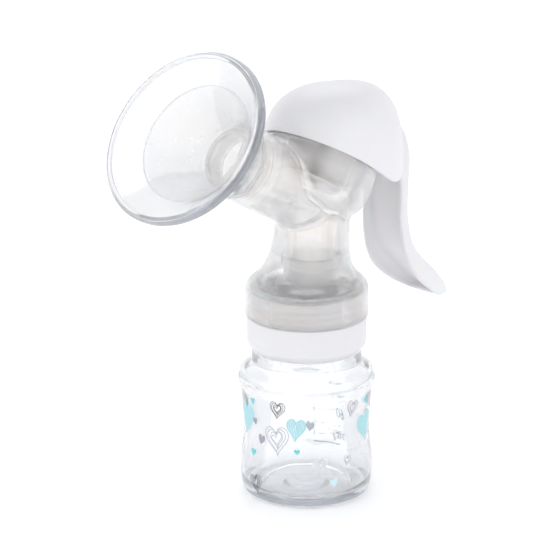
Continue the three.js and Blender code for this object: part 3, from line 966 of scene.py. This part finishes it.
def make_diaphragm():
    seat = COLLAR_TOP + GAP
    outline = soft([
        (COLLAR_R, seat, 0.5), (COLLAR_R, seat + 2.4, 0.9), (22.2, seat + 2.4, 0.9), (21.9, -6, 2),
        (19.2, -9.4, 2), (8.5, -10.6, 1.5), (6.6, -8.6, 1), (6.6, -5, 0.5), (STEM_R + GAP, -5, 0.3),
        (STEM_R + GAP, -12.4, 0.3), (19.6, -11.4, 2), (23.6, -7.2, 2), (BOWL_IN - 0.5, seat, 0.5),
    ], 0.8, 5)
    sheet = turned("diaphragm_cup", outline, on_head, 112)
    sheet.data.materials.append(SILICONE)
    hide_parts("diaphragm")
    top = on_head(np.array([[0, 0, seat + 2.4]]))[0] * MM
    floor = on_head(np.array([[0, 0, -11.0]]))[0] * MM
    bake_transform(sheet)
    return sheet


def make_stem():
    outline = soft([
        (0, -17), (4.2, -17, 0.6), (5.4, -15.2, 0.5), (STEM_R, -14.6, 0.2), (STEM_R, HOOK_AT - 1.6, 0.4),
        (STEM_R - 0.6, HOOK_AT + 1.4, 0.6), (0, HOOK_AT + 1.6),
    ], 0.4, 4)
    rod = turned("stem_rod", outline, on_head, 64)
    finish_piece(rod, "pull_rod", ["stem"], WHITE)
    bar_outline = soft([(0, -6.5), (BAR_R, -6.5, 0.5), (BAR_R, 6.5, 0.5), (0, 6.5)], 0.5, 4)
    bar = turned("stem_cross_bar", bar_outline, laid_across(HOOK), 48)
    finish_piece(bar, "pull_rod", [], WHITE)
    disc_outline = soft([
        (STEM_R + GAP, -14.2, 0.2), (15, -14, 0.4), (15, -12.9, 0.4), (STEM_R + GAP, -12.8, 0.2),
    ], 0.3, 4)
    disc = turned("stem_disc_plate", disc_outline, on_head, 96)
    finish_piece(disc, "pull_rod", ["stem_disc"], WHITE)


# ---------- hood and lever ----------


def rim_height(x):
    curl = np.clip((x - RIM_CURL_X) / (HOOD_CUT_X - RIM_CURL_X), 0, None)
    return HEAD_Z - (x - HEAD_X) * math.tan(HEAD_LEAN) + RIM_CURL * curl**2


def dome_point(turn, cosine, sine):
    """A point of the hood's outside: turn runs from 0 at the rim to a quarter turn at the top."""
    power = 2 / HOOD_FULLNESS
    reach = np.cos(turn) ** power
    lift = np.sin(turn) ** power
    shift = HOOD_SHIFT * lift
    length = np.where(cosine > 0, HOOD_BACK, HOOD_FRONT)
    rim = rim_height(HOOD_X + length * cosine)
    span = np.where(cosine > 0, length - shift, length)
    return np.c_[
        HOOD_X + shift + reach * cosine * span,
        reach * sine * HOOD_SIDE,
        rim + lift * (HOOD_TOP - rim),
    ]


def make_hood():
    columns, rows = 144, 40
    angle = np.arange(columns) * 2 * math.pi / columns
    # small steps near the rim and the top, where the curve of fullness turns fastest
    turns = np.linspace(0, 1, rows + 1) ** 1.35 * (math.pi / 2)
    points = np.vstack([
        dome_point(np.full(columns, turn), np.cos(angle), np.sin(angle)) for turn in turns[:-1]
    ])
    top = len(points)
    points = np.vstack([points, [HOOD_X + HOOD_SHIFT, 0, HOOD_TOP]])
    faces = []
    for j in range(rows):
        for i in range(columns):
            k = (i + 1) % columns
            here, above = j * columns, (j + 1) * columns
            if j < rows - 1:
                faces.append((here + i, here + k, above + k, above + i))
            else:
                faces.append((here + i, here + k, top))
    shell = mesh_object("hood_shell", points, faces)
    work = bmesh.new()
    work.from_mesh(shell.data)
    bmesh.ops.bisect_plane(
        work, geom=[*work.verts, *work.edges, *work.faces], plane_co=(HOOD_CUT_X * MM, 0, 0),
        plane_no=(1, 0, 0), clear_outer=True, dist=1e-6,
    )
    middle = Vector((HOOD_X * MM, 0, HEAD_Z * MM))
    work.faces.ensure_lookup_table()
    first = work.faces[0]
    if first.normal.dot(first.calc_center_median() - middle) < 0:
        bmesh.ops.reverse_faces(work, faces=work.faces)
    work.to_mesh(shell.data)
    work.free()
    wall = shell.modifiers.new("wall", "SOLIDIFY")
    wall.thickness = HOOD_WALL * MM
    wall.offset = -1
    edge = shell.modifiers.new("edge", "BEVEL")
    edge.width = 0.55 * MM
    edge.segments = 3
    edge.limit_method = "ANGLE"
    edge.angle_limit = math.radians(50)
    finish_piece(shell, "cover", ["hood"], WHITE)
    near, far = 13.2, 15.6
    outline = soft([
        (PIN_R + GAP, near, 0.3), (4.6, near, 0.4), (5, far, 0.2), (PIN_R + GAP, far, 0.2),
    ], 0.3, 3)
    for name, side in (("hood_boss_right", -1), ("hood_boss_left", 1)):
        boss = turned(name, outline, laid_across(PIVOT, side), 48)
        finish_piece(boss, "cover", [], WHITE)


def lever_half(z):
    """Half of the lever's width at each height: narrow in the hood, widest low down, round at the tip."""
    heights = [76.3, 77.2, 80, 87, 97, 112, 130, 158, 170, 180, 188]
    halves = [0.5, 5, 9.4, 13, 14.4, 13.4, LEVER_HALF, LEVER_HALF, 11.4, 9.2, 7]
    return np.interp(z, heights, halves)


def lever_field():
    outer = curve([
        (50.4, 182.6), (56.4, 177.2), (60.8, 168), (62.4, 158), (61.8, 146), (61.4, 134), (62.4, 122),
        (65.6, 112.6), (72, 104.8), (82, 95.8), (92, 86.4), (99.6, 78.4),
    ])
    inner = curve([
        (97.8, 77), (84, 84), (70.4, 93.4), (61.6, 104), (57.2, 116), (55.8, 128), (56, 139), (55.4, 148),
        (50.4, 158),
    ])
    knuckle = [(41, 167), (39.4, 174), (43, 181.4)]
    blank = outline_field(np.vstack([outer, inner, knuckle]))
    count = len(outer)
    shelled = outer[int(0.22 * count):int(0.95 * count)] - [LEVER_WALL * 1.05, 0]
    pocket = outline_field(np.vstack([shelled, [(72, 70), (30, 90), (30, 160)]]), 0.5)
    along = (HOOK - PIVOT) / ARM
    across = np.array([-along[1], along[0]])
    slot = BAR_R + GAP
    tip = ARM + 3.4
    slot_end = ARM - slot - 0.5
    fork_outline = [
        PIVOT + along * forward + across * side
        for forward, side in (
            (-2, 4.4), (-2, -4.4), (16, -4.8), (ARM - 5, -5), (tip, -3.6), (tip, -slot), (slot_end, -slot),
            (slot_end, slot), (tip, slot), (tip, 3.6), (ARM - 5, 5), (16, 4.8),
        )
    ]
    fork = outline_field(fork_outline)
    prong_half = 1.5
    prong_middle = STEM_R + GAP + 0.3 + prong_half

    def field(p):
        x, y, z = p.T
        side = np.abs(y)
        half = lever_half(z)
        arm = blend_max(blank(x, z) - 0.2, side - half - 0.2, 1.6)
        hollow = blend_max(pocket(x, z), side - (half - LEVER_WALL), 4.0)
        arm = blend_max(arm, -hollow, 1.0)
        prongs = blend_max(fork(x, z), np.abs(side - prong_middle) - prong_half, 0.6)
        whole = blend_min(arm, prongs, 1.5)
        hole = np.hypot(x - PIVOT[0], z - PIVOT[1]) - (PIN_R + GAP)
        return blend_max(whole, -hole, 0.5)

    return field


def make_lever():
    lever = skinned("lever_handle", lever_field(), *room_for("lever"), LEVER_CELL)
    finish_piece(lever, "handle", ["lever"], WHITE)
    outline = soft([(0, -PIN_HALF), (PIN_R, -PIN_HALF, 0.4), (PIN_R, PIN_HALF, 0.4), (0, PIN_HALF)], 0.4, 3)
    pin = turned("pivot_pin_rod", outline, laid_across(PIVOT), 40)
    finish_piece(pin, "handle", ["pivot_pin"], WHITE)


# ---------- stage ----------


def make_stage():
    mesh = bpy.data.meshes.new("floor")
    reach = 14.0
    corners = [(-reach, -reach, 0), (reach, -reach, 0), (reach, reach, 0), (-reach, reach, 0)]
    mesh.from_pydata(corners, [], [(0, 1, 2, 3)])
    floor = bpy.data.objects.new("floor", mesh)
    bpy.context.collection.objects.link(floor)
    material, shader = plain_shader(
        "floor_paper", (0.9, 0.9, 0.905), 0.6, Emission_Color=(1, 1, 1, 1), Emission_Strength=0.3
    )
    vary_roughness(material, shader, add_noise(material, 3, 2), 0.55, 0.65)
    mesh.materials.append(material)
    floor.location.z = cad_box[0][2] - FLOOR_DROP


def make_world():
    """A light tent: bright walls, a dimmer roof."""
    world = bpy.data.worlds.new("tent")
    bpy.context.scene.world = world
    world.use_nodes = True
    nodes, links = world.node_tree.nodes, world.node_tree.links
    place = nodes.new("ShaderNodeTexCoord")
    split = nodes.new("ShaderNodeSeparateXYZ")
    ramp = nodes.new("ShaderNodeValToRGB")
    ramp.color_ramp.elements[0].position = 0.0
    ramp.color_ramp.elements[0].color = (1.0, 1.0, 1.0, 1)
    ramp.color_ramp.elements[1].position = 0.9
    ramp.color_ramp.elements[1].color = (0.44, 0.45, 0.48, 1)
    between = ramp.color_ramp.elements.new(0.35)
    between.color = (0.86, 0.865, 0.875, 1)
    links.new(place.outputs["Generated"], split.inputs["Vector"])
    links.new(split.outputs["Z"], ramp.inputs["Fac"])
    links.new(ramp.outputs["Color"], nodes["Background"].inputs["Color"])
    nodes["Background"].inputs["Strength"].default_value = 1.25


def direction(azimuth, elevation):
    """From the aim toward a camera or a lamp. Azimuth 0 looks along +Y."""
    a, e = math.radians(azimuth), math.radians(elevation)
    return Vector((math.sin(a) * math.cos(e), -math.cos(a) * math.cos(e), math.sin(e)))


def area_light(name, azimuth, elevation, distance, size, power, aim):
    light = bpy.data.lights.new(name, "AREA")
    light.shape = "DISK"
    light.size = size
    light.energy = power
    lamp = bpy.data.objects.new(name, light)
    back = direction(azimuth, elevation)
    lamp.location = aim + back * distance
    lamp.rotation_euler = back.to_track_quat("Z", "Y").to_euler()
    bpy.context.collection.objects.link(lamp)


def make_camera():
    back = direction(VIEW_AZIMUTH, VIEW_ELEVATION)
    azimuth = math.radians(VIEW_AZIMUTH)
    right = Vector((math.cos(azimuth), math.sin(azimuth), 0))
    aim = Vector((0, 0, 0.1068)) - right * 0.013
    camera = bpy.data.cameras.new("camera")
    camera.sensor_width = 36
    camera.lens = 167.1
    camera.clip_end = 60
    holder = bpy.data.objects.new("camera", camera)
    holder.location = aim + back * VIEW_DISTANCE
    holder.rotation_euler = back.to_track_quat("Z", "Y").to_euler()
    bpy.context.collection.objects.link(holder)
    bpy.context.scene.camera = holder


def make_lights():
    aim = Vector((0, 0, 0.11))
    area_light("key", -100, 45, 1.4, 0.9, 2.4, aim)
    area_light("fill", 10, 30, 1.5, 1.0, 1.2, aim)
    area_light("rim", 130, 40, 1.4, 0.8, 1.4, aim)


make_camera()
make_world()
make_lights()
make_stage()
make_bottle()
make_hearts()
make_scale()
make_ring()
make_seals()
make_body()
make_valve()
make_shield()
make_insert()
make_diaphragm()
make_stem()
make_hood()
make_lever()

bpy.context.scene.view_settings.view_transform = "Standard"
